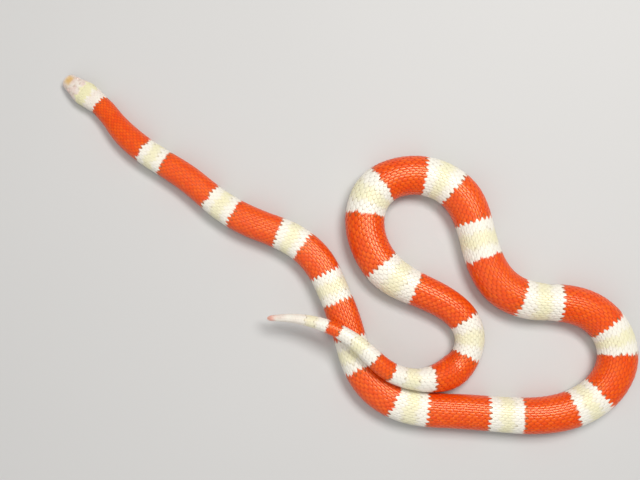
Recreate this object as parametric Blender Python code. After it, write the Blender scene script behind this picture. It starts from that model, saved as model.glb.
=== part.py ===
"""A milk snake, life size, lying in loose bends with its tail laid over its own back.

Lengths below are millimetres and become metres where a mesh is made. +X runs along the longest
reach, +Z is up, and the belly lies on the plane z = 0. The origin is the middle of the floor area
that the snake covers.
"""
import math

import bmesh
import bpy
import numpy as np

MM = 0.001

# The route of the belly's middle line over the floor, chosen by hand from the snout to the tail tip.
ROUTE = (
    (-154.0, 97.6), (-142.7, 89.0), (-131.4, 80.2), (-119.5, 66.2), (-99.6, 49.6), (-79.0, 36.4),
    (-58.6, 20.2), (-37.8, 8.9), (-17.7, 0.6), (-1.6, -12.8), (7.6, -30.2), (13.4, -44.6),
    (17.9, -59.2), (22.5, -72.8), (31.1, -85.7), (43.0, -94.2), (58.0, -98.7), (81.0, -100.4),
    (110.5, -102.5), (132.2, -102.3), (151.2, -97.2), (166.0, -86.4), (173.4, -71.2), (170.6, -55.0),
    (158.6, -42.6), (141.0, -37.6), (122.6, -35.8), (106.6, -27.8), (96.4, -10.9), (91.2, 8.2),
    (84.0, 24.6), (69.4, 35.4), (49.8, 37.4), (33.4, 29.5), (26.6, 13.6), (29.4, -4.2),
    (40.0, -19.6), (57.6, -29.8), (76.4, -39.6), (84.6, -47.8), (87.7, -57.0), (86.0, -67.0),
    (79.6, -75.6), (69.0, -80.4), (57.0, -81.4), (46.0, -79.2), (36.6, -74.3), (26.6, -65.2),
    (17.2, -57.5), (6.0, -51.4), (-6.0, -47.7), (-18.0, -46.1), (-30.4, -46.3),
)
ORIGIN = (-14.91, 6.75)

# Distance from the snout, width and height of the straight body.
GIRTHS = (
    (0.0, 8.4, 5.9), (2.5, 8.8, 6.5), (5.0, 9.8, 7.5), (7.5, 10.8, 8.3), (10.5, 12.6, 9.1),
    (14.0, 14.0, 9.8), (18.0, 14.4, 10.3), (22.0, 13.9, 10.4), (26.5, 12.8, 10.4), (31.0, 12.5, 10.6),
    (37.0, 12.6, 11.0), (46.0, 13.8, 12.0), (62.0, 15.2, 13.2), (90.0, 15.8, 13.7), (118.0, 16.8, 14.4),
    (142.0, 18.0, 15.4), (170.0, 18.4, 15.8), (210.0, 18.6, 16.0), (260.0, 19.2, 16.4),
    (300.0, 19.5, 16.7), (340.0, 20.2, 17.3), (400.0, 20.8, 17.8), (500.0, 21.5, 18.4), (600.0, 21.8, 18.6),
    (660.0, 21.6, 18.4), (705.0, 20.4, 17.5), (730.0, 18.2, 15.8), (752.0, 16.2, 14.2),
    (768.0, 16.2, 14.0), (779.0, 17.6, 14.6), (789.0, 15.8, 13.4), (799.0, 12.6, 11.2),
    (811.0, 11.3, 10.1), (826.0, 10.8, 9.6), (838.0, 9.7, 8.7), (850.0, 8.5, 7.6),
    (862.0, 7.6, 6.8), (874.0, 6.1, 5.5), (886.0, 4.4, 4.0), (897.0, 2.4, 2.2),
)
# Behind the neck a bend makes the body a little wider.
BEND_SWELL = 0.12
BENDS_FROM = 31.0
CURVATURE_SPAN = 12.0

# How far the underside of the head stands off the floor, and how far the belly would bulge
# below it if the floor didn't flatten it.
UNDERSIDE = (
    (0.0, 1.3), (3.0, 0.6), (6.0, 0.0), (10.0, -0.4), (20.0, -0.5), (40.0, -0.5), (400.0, -0.5),
    (760.0, -0.5), (800.0, -0.4), (850.0, -0.2), (897.0, -0.1),
)
# Roundness of the upper half of a section: 2 is an ellipse, more is squarer.
CROWN = (
    (0.0, 2.0), (5.0, 2.3), (10.0, 2.6), (18.0, 2.5), (26.0, 2.2), (45.0, 2.1), (400.0, 2.1),
    (800.0, 2.05), (897.0, 2.0),
)
BELLY_ROUNDNESS = 2.4
WIDEST_SHARE = 0.46
# How far from the tips of snout and tail the body starts to round off, and how bluntly.
SNOUT_ROUNDING = 3.2
TAIL_TIP_ROUNDING = 3.0
BLUNTNESS = 2.3

# Height of the tail's underside above the floor, where it climbs over the body and hangs free.
TAIL_LIFT = (
    (740.0, 0.0), (770.0, 0.0), (778.0, 0.7), (788.0, 5.2), (796.0, 9.0), (804.0, 11.5), (812.0, 13.2),
    (822.0, 15.1), (834.0, 16.6), (846.0, 17.2), (858.0, 16.9), (874.0, 16.0), (897.0, 14.4),
)

# Start and end of each red band along the back. The rings between them are pale.
RED_BANDS = (
    (27.5, 66.8), (81.5, 115.8), (132.8, 161.5), (178.2, 199.2), (217.5, 239.5), (258.0, 285.5),
    (305.2, 340.5), (360.2, 390.8), (408.2, 434.8), (453.0, 484.0), (507.2, 539.8), (561.8, 584.5),
    (604.0, 630.2), (651.5, 683.6), (707.5, 742.5), (764.4, 793.2), (815.4, 827.4), (851.5, 859.5),
)
LENGTH_NAMES = (
    ["neck"] + ["trunk_%02d" % number for number in range(1, 15)] + ["tail_base", "tail_middle", "tail_tip"]
)

RING_STEP = 6.0
BODY_SIDES = 24
HEAD_SIDES = 40
SHARP_ANGLE = math.radians(40)
# The thin gap between neighbouring lengths.
PARTING = 0.3
# The last rings, counted back from the tail tip.
TAIL_TIP_RINGS = (2.0, 0.9, 0.15)
# The rings of the head, counted from the snout, up to the neck.
HEAD_RINGS = (
    0.1, 0.45, 1.0, 1.8, 2.8, 4.0, 5.2, 6.4, 7.6, 8.8, 10.0, 11.4, 12.8, 14.2, 15.6, 17.0, 18.2, 19.4,
    21.0, 23.0, 25.0,
)

# The mouth, seen from the side: distance from the snout and height of the line of the mouth.
MOUTH_LINE = (
    (-3.0, 2.7), (1.0, 2.6), (4.0, 2.6), (7.0, 2.8), (10.0, 3.2), (13.0, 3.5), (16.0, 3.7), (18.2, 3.2),
)
# The corner of the jaw hangs this much below the end of the line of the mouth.
JAW_CORNER_DROP = 1.2
JAW_BACK = 19.0
JAW_FRONT = 0.9
JAW_INSET = 0.35
# The lower jaw's last ring lies this far behind its back, to be cut off straight.
JAW_SPARE = 1.5
LIP_SWELL = 0.3
LIP_REACH = 0.9

# Eyes and nostrils: distance from the snout, distance from the middle of the head, height.
EYE_PLACE = (7.3, 4.1, 5.6)
EYE_RADIUS = 1.5
EYE_MERIDIANS = 16
EYE_PARALLELS = 10
NOSTRIL_PLACE = (2.1, 3.7, 4.1)
NOSTRIL_RADIUS = 0.42
NOSTRIL_DEPTH = 1.4
NOSTRIL_SIDES = 10
NOSTRIL_TURNED_UP = 0.35
NOSTRIL_TURNED_FORWARD = 0.25

RED = (0.80, 0.085, 0.006)
PALE = (0.86, 0.82, 0.66)
PINK_WHITE = (0.78, 0.62, 0.52)
EYE_PINK = (0.62, 0.12, 0.12)
SKIN_ROUGHNESS = 0.35
EYE_ROUGHNESS = 0.08


def smooth_curve(knots, values):
    """A natural cubic spline: a function that runs smoothly through the values at the knots."""
    knots = np.array(knots, float)
    values = np.array(values, float)
    gap = np.diff(knots)
    count = len(knots)
    system = np.eye(count)
    slopes = np.zeros_like(values)
    for i in range(1, count - 1):
        system[i, i - 1:i + 2] = gap[i - 1], 2 * (gap[i - 1] + gap[i]), gap[i]
        rise = (values[i + 1] - values[i]) / gap[i]
        slopes[i] = 6 * (rise - (values[i] - values[i - 1]) / gap[i - 1])
    bend = np.linalg.solve(system, slopes)

    def at(place):
        i = int(np.clip(np.searchsorted(knots, place) - 1, 0, count - 2))
        after = (place - knots[i]) / gap[i]
        before = 1 - after
        pull = (before ** 3 - before) * bend[i] + (after ** 3 - after) * bend[i + 1]
        return before * values[i] + after * values[i + 1] + pull * gap[i] ** 2 / 6

    return at


def keyed(table):
    """The smooth curves through each column of a table whose first column is the distance."""
    columns = list(zip(*table))
    return [smooth_curve(columns[0], column) for column in columns[1:]]


def rounding(distance, reach):
    """How full a blunt end is at a distance from its tip, from 0 to 1."""
    share = min(max(distance / reach, 0.0), 1.0)
    return (1 - (1 - share) ** BLUNTNESS) ** (1 / BLUNTNESS)


class Backbone:
    """The belly's middle line by length along it from the snout, with its directions and its bend."""

    FINE_STEPS = 6000

    def __init__(self):
        points = np.array(ROUTE) + np.array(ORIGIN)
        chords = np.linalg.norm(np.diff(points, axis=0), axis=1)
        knots = np.concatenate([[0.0], np.cumsum(chords)])
        plan = smooth_curve(knots, points)
        self.path = np.array([plan(place) for place in np.linspace(0, knots[-1], self.FINE_STEPS)])
        steps = np.linalg.norm(np.diff(self.path, axis=0), axis=1)
        self.along = np.concatenate([[0.0], np.cumsum(steps)])
        self.length = self.along[-1]
        self.heading = np.unwrap(np.arctan2(*np.gradient(self.path, self.along, axis=0).T[::-1]))
        self.lift = keyed(TAIL_LIFT)[0]

    def bend(self, s):
        """Curvature, averaged over a short span."""
        ends = np.clip([s - CURVATURE_SPAN / 2, s + CURVATURE_SPAN / 2], 0, self.length)
        headings = np.interp(ends, self.along, self.heading)
        return (headings[1] - headings[0]) / (ends[1] - ends[0])

    def height(self, s):
        """Height of the underside over the floor: only the tail leaves it."""
        if s < TAIL_LIFT[1][0]:
            return 0.0
        return max(self.lift(min(s, TAIL_LIFT[-1][0])), 0.0)

    def frame(self, s):
        """The point on the line and the directions to the tail, to the snake's right and up from it."""
        x, y = (np.interp(s, self.along, self.path[:, axis]) for axis in (0, 1))
        heading = np.interp(s, self.along, self.heading)
        slope = self.height(s + 0.5) - self.height(s - 0.5)
        along = np.array([math.cos(heading), math.sin(heading), slope])
        along /= np.linalg.norm(along)
        right = np.array([-math.sin(heading), math.cos(heading), 0.0])
        return np.array([x, y, self.height(s)]), along, right, np.cross(along, right)


BACKBONE = Backbone()
WIDTH, HEIGHT = keyed(GIRTHS)
BELOW = keyed(UNDERSIDE)[0]
SQUARENESS = keyed(CROWN)[0]
MOUTH = keyed(MOUTH_LINE)[0]


def section(s, sides, snout=0.0, inset=0.0, lips=False):
    """Points round the snake at a distance from the snout, from the belly up its left side and over."""
    fullness = rounding(s - snout, SNOUT_ROUNDING) * rounding(BACKBONE.length - s, TAIL_TIP_ROUNDING)
    width = WIDTH(s)
    if s > BENDS_FROM:
        width *= 1 + BEND_SWELL * abs(BACKBONE.bend(s)) * width
    middle = BELOW(s) + WIDEST_SHARE * (HEIGHT(s) - BELOW(s))
    half = (width / 2 - inset) * fullness
    crown = (HEIGHT(s) - middle) * fullness
    belly = (middle - BELOW(s)) * fullness
    angles = 2 * math.pi * np.arange(sides) / sides - math.pi / 2
    level, rise = np.cos(angles), np.sin(angles)
    power = np.where(rise > 0, 2 / SQUARENESS(s), 2 / BELLY_ROUNDNESS)
    up = middle + np.where(rise > 0, crown, belly) * np.sign(rise) * np.abs(rise) ** power
    across = -half * np.sign(level) * np.abs(level) ** power
    if lips:
        lip = np.exp(-((up - MOUTH(s) - LIP_REACH / 2) / LIP_REACH) ** 2)
        across += np.sign(across) * LIP_SWELL * fullness * lip * rounding(JAW_BACK - s, LIP_REACH * 4)
    origin, _, to_right, to_top = BACKBONE.frame(s)
    return origin + np.outer(across, to_right) + np.outer(np.maximum(up, 0.0), to_top)


def in_red(s):
    return any(start < s < end for start, end in RED_BANDS)


def make_material(name, colour, roughness):
    """A plain finish with one colour."""
    material = bpy.data.materials.new(name)
    material.use_nodes = True
    shader = material.node_tree.nodes["Principled BSDF"]
    shader.inputs["Base Color"].default_value = (*colour, 1.0)
    shader.inputs["Roughness"].default_value = roughness
    shader.inputs["Metallic"].default_value = 0.0
    material.diffuse_color = (*colour, 1.0)
    return material


def add_object(name, mesh_builder, materials):
    """A named object from a bmesh, in the snake's own frame."""
    mesh = bpy.data.meshes.new(name)
    mesh_builder.normal_update()
    bmesh.ops.recalc_face_normals(mesh_builder, faces=mesh_builder.faces)
    mesh_builder.to_mesh(mesh)
    mesh_builder.free()
    for material in materials:
        mesh.materials.append(material)
    mesh.shade_smooth()
    mesh.set_sharp_from_angle(angle=SHARP_ANGLE)
    made = bpy.data.objects.new(name, mesh)
    bpy.context.scene.collection.objects.link(made)
    return made


def loft(name, stations, sides, materials, **shape):
    """A closed skin over the sections at the stations. Faces in a red band take the second finish."""
    builder = bmesh.new()
    rings = []
    for s in stations:
        points = section(s, sides, **shape) * MM
        rings.append([builder.verts.new(point) for point in points])
    for index, (ring, after) in enumerate(zip(rings, rings[1:])):
        red = in_red((stations[index] + stations[index + 1]) / 2)
        for i in range(sides):
            j = (i + 1) % sides
            face = builder.faces.new((ring[i], ring[j], after[j], after[i]))
            face.material_index = int(red and len(materials) > 1)
    for ring in (rings[0], rings[-1]):
        middle = builder.verts.new(sum((vert.co for vert in ring), ring[0].co * 0) / sides)
        for i in range(sides):
            builder.faces.new((middle, ring[i], ring[(i + 1) % sides]))
    return add_object(name, builder, materials)


def stations_between(start, end, marks, step):
    """Ring places from start to end, no further apart than the step, with one at each mark."""
    stops = [start] + [mark for mark in marks if start + 1 < mark < end - 1] + [end]
    places = [start]
    for low, high in zip(stops, stops[1:]):
        count = max(1, round((high - low) / step))
        places += [low + (high - low) * (i + 1) / count for i in range(count)]
    return places


def body_lengths():
    """Neck, trunk and tail in lengths of one red band and one pale ring, parted by thin cuts."""
    marks = [edge for band in RED_BANDS for edge in band]
    starts = [start for start, _ in RED_BANDS]
    ends = starts[1:] + [BACKBONE.length]
    for name, start, end in zip(LENGTH_NAMES, starts, ends):
        places = stations_between(start + PARTING / 2, end - PARTING / 2, marks, RING_STEP)
        if name == LENGTH_NAMES[-1]:
            places[-1:] = [BACKBONE.length - back for back in TAIL_TIP_RINGS]
        finishes = [
            make_material(name + "_pale", PALE, SKIN_ROUGHNESS),
            make_material(name + "_red", RED, SKIN_ROUGHNESS),
        ]
        loft(name, places, BODY_SIDES, finishes)


def head_frame(place, side):
    """A point beside the head. The side is 1 for the snake's right and -1 for its left."""
    origin, _, right, up = BACKBONE.frame(place[0])
    return origin + right * place[1] * side + up * place[2]


def make_cutter(builder, name):
    """A hidden shape that only cuts."""
    cutter = add_object(name, builder, [])
    cutter.hide_render = True
    cutter.display_type = "WIRE"
    return cutter


def mouth_block(name, lowering, back):
    """The space under the line of the mouth, from in front of the snout to the back of the jaw."""
    half_width = 12.0
    floor = -3.0
    front = MOUTH_LINE[0][0]
    corner = MOUTH_LINE[-1][1] - JAW_CORNER_DROP
    outline = [(s, height - lowering) for s, height in MOUTH_LINE]
    outline += [(back, corner - lowering), (back, floor), (front, floor)]
    origin, along, right, up = BACKBONE.frame(0.0)
    builder = bmesh.new()
    left_edge = []
    for s, z in outline:
        point = origin + along * s + up * z - right * half_width
        left_edge.append(builder.verts.new(point * MM))
    side = builder.faces.new(left_edge)
    pushed = bmesh.ops.extrude_face_region(builder, geom=[side])
    moved = [item for item in pushed["geom"] if isinstance(item, bmesh.types.BMVert)]
    bmesh.ops.translate(builder, verts=moved, vec=right * 2 * half_width * MM)
    return make_cutter(builder, name)


def eye_ball(side, radius):
    """A ball at the place of an eye."""
    builder = bmesh.new()
    bmesh.ops.create_uvsphere(
        builder, u_segments=EYE_MERIDIANS, v_segments=EYE_PARALLELS, radius=radius * MM,
    )
    bmesh.ops.translate(builder, verts=builder.verts, vec=head_frame(EYE_PLACE, side) * MM)
    return builder


def nostril_pit(side, name):
    """A short round pit that looks outwards and a little up."""
    builder = bmesh.new()
    bmesh.ops.create_cone(
        builder, cap_ends=True, segments=NOSTRIL_SIDES, radius1=NOSTRIL_RADIUS * MM,
        radius2=NOSTRIL_RADIUS * MM, depth=NOSTRIL_DEPTH * MM,
    )
    _, along, right, up = BACKBONE.frame(NOSTRIL_PLACE[0])
    outward = right * side + up * NOSTRIL_TURNED_UP - along * NOSTRIL_TURNED_FORWARD
    outward /= np.linalg.norm(outward)
    across = np.cross(up, outward)
    across /= np.linalg.norm(across)
    turned = np.array([across, np.cross(outward, across), outward])
    centre = head_frame(NOSTRIL_PLACE, side) * MM
    for vert in builder.verts:
        vert.co = centre + np.array(vert.co) @ turned
    return make_cutter(builder, name)


def cut(target, cutter, operation="DIFFERENCE"):
    """A Boolean that keeps or takes away the space of a cutter."""
    modifier = target.modifiers.new(cutter.name, "BOOLEAN")
    modifier.operation = operation
    modifier.solver = "EXACT"
    modifier.object = cutter


def head_pieces():
    """Head, lower jaw and eyes. The head keeps the lips, the nostrils and the sockets of the eyes."""
    neck_start = RED_BANDS[0][0] - PARTING / 2
    places = [*HEAD_RINGS, neck_start]
    finish = [make_material("head_skin", PINK_WHITE, SKIN_ROUGHNESS)]
    head = loft("head", places, HEAD_SIDES, finish, lips=True)
    jaw_places = [JAW_FRONT + s for s in HEAD_RINGS if JAW_FRONT + s < JAW_BACK - JAW_FRONT]
    jaw_places.append(JAW_BACK + JAW_SPARE)
    jaw_finish = [make_material("lower_jaw_skin", PINK_WHITE, SKIN_ROUGHNESS)]
    jaw = loft("lower_jaw", jaw_places, HEAD_SIDES, jaw_finish, snout=JAW_FRONT, inset=JAW_INSET)
    cut(head, mouth_block("mouth_space", 0.0, JAW_BACK))
    cut(jaw, mouth_block("jaw_block", PARTING, JAW_BACK - PARTING), "INTERSECT")
    for side, word in ((1, "right"), (-1, "left")):
        cut(head, make_cutter(eye_ball(side, EYE_RADIUS + PARTING), "socket_" + word))
        cut(head, nostril_pit(side, "nostril_" + word))
        eye_finish = [make_material("eye_%s_glaze" % word, EYE_PINK, EYE_ROUGHNESS)]
        add_object("eye_" + word, eye_ball(side, EYE_RADIUS), eye_finish)


def clear_scene():
    for old in list(bpy.data.objects):
        bpy.data.objects.remove(old)


clear_scene()
head_pieces()
body_lengths()
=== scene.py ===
"""The outside of a milk snake: skin, head plates, overlapping scales, belly scutes and eyes.

Lengths below are millimetres, as in the solids, and become metres where a mesh is made.
"""

import math

import bpy
import numpy as np
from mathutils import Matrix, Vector
from mathutils.bvhtree import BVHTree


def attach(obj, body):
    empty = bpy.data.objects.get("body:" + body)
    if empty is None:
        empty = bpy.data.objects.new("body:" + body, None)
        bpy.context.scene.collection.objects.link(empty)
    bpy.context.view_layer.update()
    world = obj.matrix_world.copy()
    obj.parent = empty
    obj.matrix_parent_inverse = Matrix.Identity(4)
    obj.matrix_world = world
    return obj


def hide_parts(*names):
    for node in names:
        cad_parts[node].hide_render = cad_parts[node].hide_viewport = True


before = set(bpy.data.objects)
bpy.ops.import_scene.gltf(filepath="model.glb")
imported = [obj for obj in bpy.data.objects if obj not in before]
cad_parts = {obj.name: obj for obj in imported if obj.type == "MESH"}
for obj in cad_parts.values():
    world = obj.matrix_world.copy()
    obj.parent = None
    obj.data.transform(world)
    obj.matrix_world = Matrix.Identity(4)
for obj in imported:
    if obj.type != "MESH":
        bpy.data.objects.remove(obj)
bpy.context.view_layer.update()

MM = 0.001

# The body, as in the solids: its route over the floor, its girth, and how it lies.
ROUTE = (
    (-154.0, 97.6), (-142.7, 89.0), (-131.4, 80.2), (-119.5, 66.2), (-99.6, 49.6), (-79.0, 36.4),
    (-58.6, 20.2), (-37.8, 8.9), (-17.7, 0.6), (-1.6, -12.8), (7.6, -30.2), (13.4, -44.6),
    (17.9, -59.2), (22.5, -72.8), (31.1, -85.7), (43.0, -94.2), (58.0, -98.7), (81.0, -100.4),
    (110.5, -102.5), (132.2, -102.3), (151.2, -97.2), (166.0, -86.4), (173.4, -71.2), (170.6, -55.0),
    (158.6, -42.6), (141.0, -37.6), (122.6, -35.8), (106.6, -27.8), (96.4, -10.9), (91.2, 8.2),
    (84.0, 24.6), (69.4, 35.4), (49.8, 37.4), (33.4, 29.5), (26.6, 13.6), (29.4, -4.2),
    (40.0, -19.6), (57.6, -29.8), (76.4, -39.6), (84.6, -47.8), (87.7, -57.0), (86.0, -67.0),
    (79.6, -75.6), (69.0, -80.4), (57.0, -81.4), (46.0, -79.2), (36.6, -74.3), (26.6, -65.2),
    (17.2, -57.5), (6.0, -51.4), (-6.0, -47.7), (-18.0, -46.1), (-30.4, -46.3),
)
ORIGIN = (-14.91, 6.75)
# Distance from the snout, width and height of the straight body.
GIRTHS = (
    (0, 8.4, 5.9), (2.5, 8.8, 6.5), (5, 9.8, 7.5), (7.5, 10.8, 8.3), (10.5, 12.6, 9.1),
    (14, 14.0, 9.8), (18, 14.4, 10.3), (22, 13.9, 10.4), (26.5, 12.8, 10.4), (31, 12.5, 10.6),
    (37, 12.6, 11.0), (46, 13.8, 12.0), (62, 15.2, 13.2), (90, 15.8, 13.7), (118, 16.8, 14.4),
    (142, 18.0, 15.4), (170, 18.4, 15.8), (210, 18.6, 16.0), (260, 19.2, 16.4),
    (300, 19.5, 16.7), (340, 20.2, 17.3), (400, 20.8, 17.8), (500, 21.5, 18.4), (600, 21.8, 18.6),
    (660, 21.6, 18.4), (705, 20.4, 17.5), (730, 18.2, 15.8), (752, 16.2, 14.2),
    (768, 16.2, 14.0), (779, 17.6, 14.6), (789, 15.8, 13.4), (799, 12.6, 11.2),
    (811, 11.3, 10.1), (826, 10.8, 9.6), (838, 9.7, 8.7), (850, 8.5, 7.6),
    (862, 7.6, 6.8), (874, 6.1, 5.5), (886, 4.4, 4.0), (897, 2.4, 2.2),
)
BEND_SWELL = 0.12
BENDS_FROM = 31.0
CURVATURE_SPAN = 12.0
UNDERSIDE = (
    (0, 1.3), (3, 0.6), (6, 0.0), (10, -0.4), (20, -0.5), (40, -0.5), (400, -0.5),
    (760, -0.5), (800, -0.4), (850, -0.2), (897, -0.1),
)
CROWN = (
    (0, 2.0), (5, 2.3), (10, 2.6), (18, 2.5), (26, 2.2), (45, 2.1), (400, 2.1),
    (800, 2.05), (897, 2.0),
)
BELLY_ROUNDNESS = 2.4
WIDEST_SHARE = 0.46
SNOUT_ROUNDING = 3.2
TAIL_TIP_ROUNDING = 3.0
BLUNTNESS = 2.3
TAIL_LIFT = (
    (740, 0.0), (770, 0.0), (778, 0.7), (788, 5.2), (796, 9.0), (804, 11.5), (812, 13.2),
    (822, 15.1), (834, 16.6), (846, 17.2), (858, 16.9), (874, 16.0), (897, 14.4),
)
MOUTH_LINE = (
    (-3, 2.7), (1, 2.6), (4, 2.6), (7, 2.8), (10, 3.2), (13, 3.5), (16, 3.7), (18.2, 3.2),
)
JAW_BACK = 19.0
JAW_FADE = 2.5
JAW_FRONT = 0.9
LIP_LINE = 0.12
JAW_INSET = 0.35
LIP_SWELL = 0.3
LIP_REACH = 0.9
EYE_PLACE = (7.3, 4.1, 5.6)
EYE_RADIUS = 1.5
EYE_FLATTENING = (1.07, 1.07, 0.8)
EYE_FORWARD = 0.12
NOSTRIL_PLACE = (2.1, 3.7, 4.1)
RED_BANDS = (
    (27.5, 66.8), (81.5, 115.8), (132.8, 161.5), (178.2, 199.2), (217.5, 239.5), (258.0, 285.5),
    (305.2, 340.5), (360.2, 390.8), (408.2, 434.8), (453.0, 484.0), (507.2, 539.8), (561.8, 584.5),
    (604.0, 630.2), (651.5, 683.6), (707.5, 742.5), (764.4, 793.2), (815.4, 827.4), (851.5, 859.5),
)
LAST_RING_END = 879.0
FIRST_BAND = RED_BANDS[0][0]
# Half the length of a ring's yellow middle as a share of the ring, on the body and on the tail.
YELLOW_REACH = 0.205
TAIL_YELLOW_REACH = 0.17

# The coat: how deep the skin lies under the tips of the scales, and how the scales are laid.
COAT_DEPTH = 0.34
PLATE_DEPTH = 0.2
# Distance from the snout, and from one scale to the next in a row there.
SCALE_STEPS = (
    (0, 2.1), (30, 2.5), (60, 3.0), (120, 3.4), (300, 3.7), (600, 3.55), (740, 3.3),
    (790, 2.7), (830, 2.2), (860, 1.9), (897, 1.4),
)
BACK_SHARE = 0.72  # of the way round, the rest is the belly's
OUTER_ROW = 11
# Share of the way round, and how far from the snout the scales start there.
SCALES_FROM = ((0.10, 15.2), (0.20, 16.1), (0.245, 17.9), (0.30, 17.6), (0.36, 17.2))
SCUTES_FROM = 21.0
VENT = 786.0
# Where the outermost row narrows in to start, and where each outer row narrows away towards the tail.
OUTER_ROW_STARTS = (98, 130)
ROW_FADES = {
    11: (600, 640), 10: (690, 725), 9: (765, 785), 8: (780, 796),
    7: (788, 806), 6: (804, 824), 5: (824, 844), 4: (848, 868),
}
# The narrowest scale that is laid, as a share of a full one.
NARROWEST = 0.3
# How much longer than a step and wider than a row a scale is, and the same for scutes and pairs of them.
SCALE_LAP = (1.5, 1.42)
SCUTE_LAP = (1.42, 1.16)
PAIR_LAP = (1.42, 1.2)
THROAT_LAP = 1.08
# The longest scale, with its thickness and how far its sides bend down.
LONGEST = 5.6
THICKNESS = 0.09
DOME = 0.13
# How deep the roots of such a scale and of a scute lie under the outside.
SCALE_ROOT = -0.26
SCUTE_ROOT = -0.30
PATCH = 0.003  # the size of one scale on the OFBake map
SCALES_IN_A_MESH = 1600

# The plates of the head.
PLATE_SIDES = 48
PLATE_GAP = 0.035
PLATE_RIM = 0.11
PLATE_INSETS = ((0.05, 0.25), (0.10, 0.15), (0.25, 0.0), (0.3, 0.0))
ORBIT = 1.42
BROW = 0.78
UPPER_LIP = 0.1
LOWER_LIP = 0.32
LIP_CUTS = (1.15, 2.6, 4.2, 5.9, 7.8, 10.2, 13.0, 16.9)
JAW_CUTS = (1.45, 2.5, 3.9, 5.6, 7.5, 9.6, 11.9, 14.3, 16.8)
# The throat's scales: where they start, how they follow each other, how far across they reach.
THROAT_FROM = 8.6
THROAT_STEP = 1.05
THROAT_WIDE = 2.0
THROAT_LONG = 3.7
THROAT_EDGE = ((8.0, 3.6), (9.9, 3.9), (12.2, 4.5), (14.6, 5.0), (17.0, 5.2), (19.0, 6.6), (22.0, 7.4))
# The chin plates that they leave free.
CHIN_REACH = 2.6
CHIN_END = 11.4


def smooth_curve(knots, values):
    """A natural cubic spline: a function that runs smoothly through the values at the knots."""
    knots = np.array(knots, float)
    values = np.array(values, float)
    gap = np.diff(knots)
    count = len(knots)
    system = np.eye(count)
    slopes = np.zeros_like(values)
    for i in range(1, count - 1):
        system[i, i - 1:i + 2] = gap[i - 1], 2 * (gap[i - 1] + gap[i]), gap[i]
        rise = (values[i + 1] - values[i]) / gap[i]
        slopes[i] = 6 * (rise - (values[i] - values[i - 1]) / gap[i - 1])
    bend = np.linalg.solve(system, slopes)

    def at(place):
        place = np.asarray(place, float)
        i = np.clip(np.searchsorted(knots, place) - 1, 0, count - 2)
        after = (place - knots[i]) / gap[i]
        before = 1 - after
        if values.ndim > 1:
            after, before = after[..., None], before[..., None]
        width = gap[i][..., None] if values.ndim > 1 else gap[i]
        pull = (before ** 3 - before) * bend[i] + (after ** 3 - after) * bend[i + 1]
        return before * values[i] + after * values[i + 1] + pull * width ** 2 / 6

    return at


def keyed(table):
    """The smooth curves through each column of a table whose first column is the distance."""
    columns = list(zip(*table))
    return [smooth_curve(columns[0], column) for column in columns[1:]]


def rounding(distance, reach):
    """How full a blunt end is at a distance from its tip, from 0 to 1."""
    share = np.clip(distance / reach, 0.0, 1.0)
    return (1 - (1 - share) ** BLUNTNESS) ** (1 / BLUNTNESS)


def ease(value, start, end):
    """From 0 at the start to 1 at the end, with soft ends."""
    share = np.clip((value - start) / (end - start), 0.0, 1.0)
    return share * share * (3 - 2 * share)


def mix(first, second, share):
    return first + (second - first) * share


def unit(ways):
    """The same directions with a length of 1."""
    return ways / np.maximum(np.linalg.norm(ways, axis=-1, keepdims=True), 1e-9)


class Backbone:
    """The belly's middle line by length along it from the snout, with its directions and its bend."""

    FINE_STEPS = 6000

    def __init__(self):
        points = np.array(ROUTE) + np.array(ORIGIN)
        chords = np.linalg.norm(np.diff(points, axis=0), axis=1)
        knots = np.concatenate([[0.0], np.cumsum(chords)])
        self.path = smooth_curve(knots, points)(np.linspace(0, knots[-1], self.FINE_STEPS))
        steps = np.linalg.norm(np.diff(self.path, axis=0), axis=1)
        self.along = np.concatenate([[0.0], np.cumsum(steps)])
        self.length = self.along[-1]
        self.heading = np.unwrap(np.arctan2(*np.gradient(self.path, self.along, axis=0).T[::-1]))
        self.lift = keyed(TAIL_LIFT)[0]

    def bend(self, s):
        """Curvature, averaged over a short span."""
        low = np.clip(s - CURVATURE_SPAN / 2, 0, self.length)
        high = np.clip(s + CURVATURE_SPAN / 2, 0, self.length)
        turned = np.interp(high, self.along, self.heading) - np.interp(low, self.along, self.heading)
        return turned / (high - low)

    def height(self, s):
        """Height of the underside over the floor: only the tail leaves it."""
        lifted = np.maximum(self.lift(np.minimum(s, TAIL_LIFT[-1][0])), 0.0)
        return np.where(s < TAIL_LIFT[1][0], 0.0, lifted)

    def frame(self, s):
        """The point on the line and the directions to the tail, to the snake's right and up from it."""
        x, y = (np.interp(s, self.along, self.path[:, axis]) for axis in (0, 1))
        heading = np.interp(s, self.along, self.heading)
        level = np.zeros_like(heading)
        slope = self.height(s + 0.5) - self.height(s - 0.5)
        along = unit(np.stack([np.cos(heading), np.sin(heading), slope], -1))
        right = np.stack([-np.sin(heading), np.cos(heading), level], -1)
        return np.stack([x, y, self.height(s)], -1), along, right, np.cross(along, right)


BACKBONE = Backbone()
WIDTH, HEIGHT = keyed(GIRTHS)
BELOW = keyed(UNDERSIDE)[0]
SQUARENESS = keyed(CROWN)[0]
MOUTH = keyed(MOUTH_LINE)[0]
STEP = keyed(SCALE_STEPS)[0]


def jaw_share(s, up, soft):
    """From 0 over the line of the mouth to 1 under it, back to where the lower jaw ends."""
    return ease(MOUTH(s) - up, -soft, soft) * ease(s, JAW_BACK, JAW_BACK - JAW_FADE)


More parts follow.
